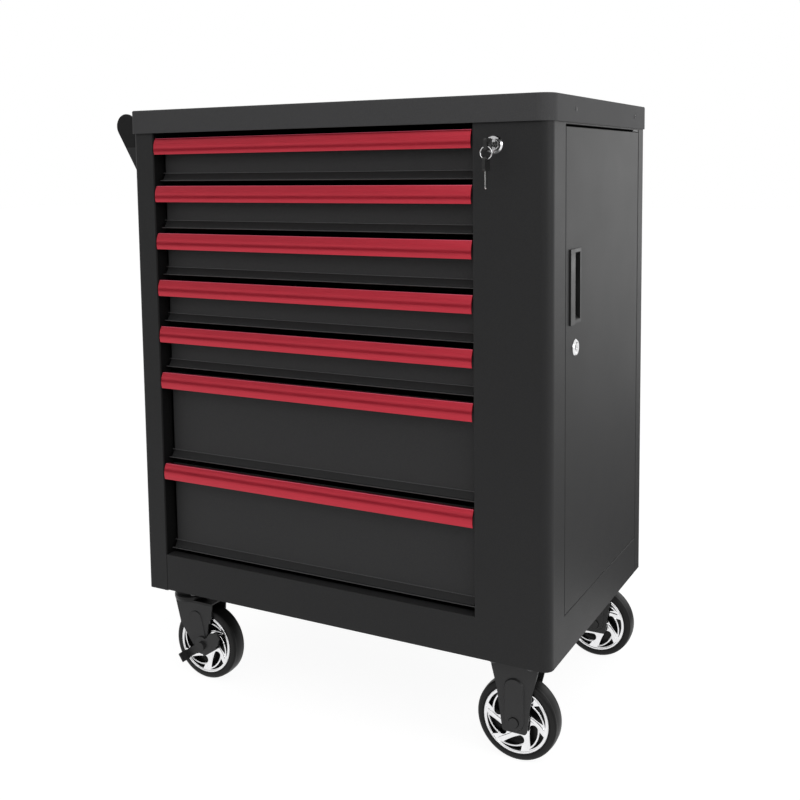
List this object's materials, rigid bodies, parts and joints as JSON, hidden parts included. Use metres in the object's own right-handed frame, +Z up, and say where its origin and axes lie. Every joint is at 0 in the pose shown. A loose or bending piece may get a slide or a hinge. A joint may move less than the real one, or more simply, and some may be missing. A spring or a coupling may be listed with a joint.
{
  "type": "rolling tool chest",
  "caption": "Wheeled steel tool chest with a stack of drawers behind full-width pulls, a side locker with a hinged door, a push handle and swirl-covered caster wheels.",
  "frame": {"origin": "on the floor, under the centre of the whole outline", "axes": "+Z up, -Y towards the drawer fronts, +X towards the side with the locker door"},
  "size_m": [0.8025, 0.509, 0.98],
  "materials": {
    "cabinet_steel": "fine texture powder coat, satin",
    "worktop_steel": "fine texture powder coat, satin",
    "drawer_steel": "fine texture powder coat, satin",
    "door_steel": "fine texture powder coat, satin",
    "pull_red": "satin metallic",
    "slide_zinc": "zinc plated",
    "bar_zinc": "zinc plated",
    "hinge_zinc": "zinc plated",
    "lock_chrome": "polished",
    "key_plastic": "moulded",
    "pull_black": "moulded",
    "bracket_black": "satin",
    "tube_black": "satin",
    "fork_black": "satin",
    "lever_black": "satin",
    "tyre": "smooth",
    "hub_plastic": "moulded",
    "trim_chrome": "polished"
  },
  "bodies": {
    "cabinet": {"left_side": "cabinet_steel", "front_frame": "cabinet_steel", "back_panel": "cabinet_steel", "base_pan": "cabinet_steel", "divider_wall": "cabinet_steel", "slide_uprights": "cabinet_steel", "worktop": "worktop_steel", "slide_outers": "slide_zinc", "lock_housing": "lock_chrome", "door_hinges": "hinge_zinc", "handle_brackets": "bracket_black", "handle_tube": "tube_black", "swivel_plates": "fork_black", "fixed_forks": "fork_black"},
    "drawer_1": {"drawer_1": "drawer_steel", "drawer_pull_1": "pull_red"},
    "slides_1": {"slide_middle_1": "slide_zinc"},
    "drawer_2": {"drawer_2": "drawer_steel", "drawer_pull_2": "pull_red"},
    "slides_2": {"slide_middle_2": "slide_zinc"},
    "drawer_3": {"drawer_3": "drawer_steel", "drawer_pull_3": "pull_red"},
    "slides_3": {"slide_middle_3": "slide_zinc"},
    "drawer_4": {"drawer_4": "drawer_steel", "drawer_pull_4": "pull_red"},
    "slides_4": {"slide_middle_4": "slide_zinc"},
    "drawer_5": {"drawer_5": "drawer_steel", "drawer_pull_5": "pull_red"},
    "slides_5": {"slide_middle_5": "slide_zinc"},
    "drawer_6": {"drawer_6": "drawer_steel", "drawer_pull_6": "pull_red"},
    "slides_6": {"slide_middle_6": "slide_zinc"},
    "drawer_7": {"drawer_7": "drawer_steel", "drawer_pull_7": "pull_red"},
    "slides_7": {"slide_middle_7": "slide_zinc"},
    "locker_door": {"locker_door": "door_steel", "door_pull": "pull_black", "door_lock_housing": "lock_chrome"},
    "door_lock_plug": {"door_lock_plug": "lock_chrome"},
    "lock_plug": {"lock_plug": "lock_chrome"},
    "lock_bar": {"lock_bar": "bar_zinc"},
    "lock_key": {"lock_key": "key_plastic"},
    "key_ring": {"key_ring": "lock_chrome"},
    "spare_key": {"spare_key": "key_plastic"},
    "swivel_fork_front": {"swivel_fork_front": "fork_black"},
    "brake_lever_front": {"brake_lever_front": "lever_black"},
    "wheel_front_left": {"tyre_front_left": "tyre", "hub_front_left": "hub_plastic", "trim_front_left": "trim_chrome"},
    "wheel_front_right": {"tyre_front_right": "tyre", "hub_front_right": "hub_plastic", "trim_front_right": "trim_chrome"},
    "swivel_fork_rear": {"swivel_fork_rear": "fork_black"},
    "brake_lever_rear": {"brake_lever_rear": "lever_black"},
    "wheel_rear_left": {"tyre_rear_left": "tyre", "hub_rear_left": "hub_plastic", "trim_rear_left": "trim_chrome"},
    "wheel_rear_right": {"tyre_rear_right": "tyre", "hub_rear_right": "hub_plastic", "trim_rear_right": "trim_chrome"}
  },
  "joints": [
    {"name": "drawer_1_slide", "type": "slide", "parent": "cabinet", "child": "drawer_1", "axis": [0, -1, 0], "range_m": [0, 0.39]},
    {"name": "slides_1_run", "type": "slide", "parent": "cabinet", "child": "slides_1", "axis": [0, -1, 0], "range_m": [0, 0.195]},
    {"name": "drawer_2_slide", "type": "slide", "parent": "cabinet", "child": "drawer_2", "axis": [0, -1, 0], "range_m": [0, 0.39]},
    {"name": "slides_2_run", "type": "slide", "parent": "cabinet", "child": "slides_2", "axis": [0, -1, 0], "range_m": [0, 0.195]},
    {"name": "drawer_3_slide", "type": "slide", "parent": "cabinet", "child": "drawer_3", "axis": [0, -1, 0], "range_m": [0, 0.39]},
    {"name": "slides_3_run", "type": "slide", "parent": "cabinet", "child": "slides_3", "axis": [0, -1, 0], "range_m": [0, 0.195]},
    {"name": "drawer_4_slide", "type": "slide", "parent": "cabinet", "child": "drawer_4", "axis": [0, -1, 0], "range_m": [0, 0.39]},
    {"name": "slides_4_run", "type": "slide", "parent": "cabinet", "child": "slides_4", "axis": [0, -1, 0], "range_m": [0, 0.195]},
    {"name": "drawer_5_slide", "type": "slide", "parent": "cabinet", "child": "drawer_5", "axis": [0, -1, 0], "range_m": [0, 0.39]},
    {"name": "slides_5_run", "type": "slide", "parent": "cabinet", "child": "slides_5", "axis": [0, -1, 0], "range_m": [0, 0.195]},
    {"name": "drawer_6_slide", "type": "slide", "parent": "cabinet", "child": "drawer_6", "axis": [0, -1, 0], "range_m": [0, 0.39]},
    {"name": "slides_6_run", "type": "slide", "parent": "cabinet", "child": "slides_6", "axis": [0, -1, 0], "range_m": [0, 0.195]},
    {"name": "drawer_7_slide", "type": "slide", "parent": "cabinet", "child": "drawer_7", "axis": [0, -1, 0], "range_m": [0, 0.39]},
    {"name": "slides_7_run", "type": "slide", "parent": "cabinet", "child": "slides_7", "axis": [0, -1, 0], "range_m": [0, 0.195]},
    {"name": "door_hinge", "type": "hinge", "parent": "cabinet", "child": "locker_door", "pos_m": [0.39225, 0.194, 0.58135], "axis": [0, 0, 1], "range_deg": [0, 110]},
    {"name": "door_lock_turn", "type": "hinge", "parent": "locker_door", "child": "door_lock_plug", "pos_m": [0.39825, -0.116, 0.616], "axis": [-1, 0, 0], "range_deg": [0, 90]},
    {"name": "lock_turn", "type": "hinge", "parent": "cabinet", "child": "lock_plug", "pos_m": [0.31475, -0.217, 0.911], "axis": [0, -1, 0], "range_deg": [0, 90]},
    {"name": "lock_bar_slide", "type": "slide", "parent": "cabinet", "child": "lock_bar", "axis": [0, 0, -1], "range_m": [0, 0.01273]},
    {"name": "key_pull", "type": "slide", "parent": "lock_plug", "child": "lock_key", "axis": [0, -1, 0], "range_m": [0, 0.024]},
    {"name": "ring_swing", "type": "hinge", "parent": "lock_key", "child": "key_ring", "pos_m": [0.31475, -0.246, 0.90792], "axis": [1, 0, 0], "range_deg": [-8, 8]},
    {"name": "spare_swing", "type": "hinge", "parent": "key_ring", "child": "spare_key", "pos_m": [0.31475, -0.246, 0.89072], "axis": [1, 0, 0], "range_deg": [-15, 15]},
    {"name": "swivel_front", "type": "hinge", "parent": "cabinet", "child": "swivel_fork_front", "pos_m": [-0.28225, -0.172, 0.1362], "axis": [0, 0, 1], "continuous": true},
    {"name": "brake_front", "type": "hinge", "parent": "swivel_fork_front", "child": "brake_lever_front", "pos_m": [-0.24275, -0.172, 0.0635], "axis": [0, -1, 0], "range_deg": [0, 15]},
    {"name": "wheel_front_left_spin", "type": "hinge", "parent": "swivel_fork_front", "child": "wheel_front_left", "pos_m": [-0.24275, -0.172, 0.0635], "axis": [0, 1, 0], "continuous": true},
    {"name": "wheel_front_right_spin", "type": "hinge", "parent": "cabinet", "child": "wheel_front_right", "pos_m": [0.33375, -0.172, 0.0635], "axis": [0, 1, 0], "continuous": true},
    {"name": "swivel_rear", "type": "hinge", "parent": "cabinet", "child": "swivel_fork_rear", "pos_m": [-0.28225, 0.213, 0.1362], "axis": [0, 0, 1], "continuous": true},
    {"name": "brake_rear", "type": "hinge", "parent": "swivel_fork_rear", "child": "brake_lever_rear", "pos_m": [-0.24275, 0.213, 0.0635], "axis": [0, -1, 0], "range_deg": [0, 15]},
    {"name": "wheel_rear_left_spin", "type": "hinge", "parent": "swivel_fork_rear", "child": "wheel_rear_left", "pos_m": [-0.24275, 0.213, 0.0635], "axis": [0, 1, 0], "continuous": true},
    {"name": "wheel_rear_right_spin", "type": "hinge", "parent": "cabinet", "child": "wheel_rear_right", "pos_m": [0.33375, 0.213, 0.0635], "axis": [0, 1, 0], "continuous": true}
  ],
  "couplings": [
    {"joint": "slides_1_run", "follows": "drawer_1_slide", "ratio": 0.5},
    {"joint": "slides_2_run", "follows": "drawer_2_slide", "ratio": 0.5},
    {"joint": "slides_3_run", "follows": "drawer_3_slide", "ratio": 0.5},
    {"joint": "slides_4_run", "follows": "drawer_4_slide", "ratio": 0.5},
    {"joint": "slides_5_run", "follows": "drawer_5_slide", "ratio": 0.5},
    {"joint": "slides_6_run", "follows": "drawer_6_slide", "ratio": 0.5},
    {"joint": "slides_7_run", "follows": "drawer_7_slide", "ratio": 0.5},
    {"joint": "lock_turn", "follows": "lock_bar_slide", "rad_per_m": 123.42}
  ]
}
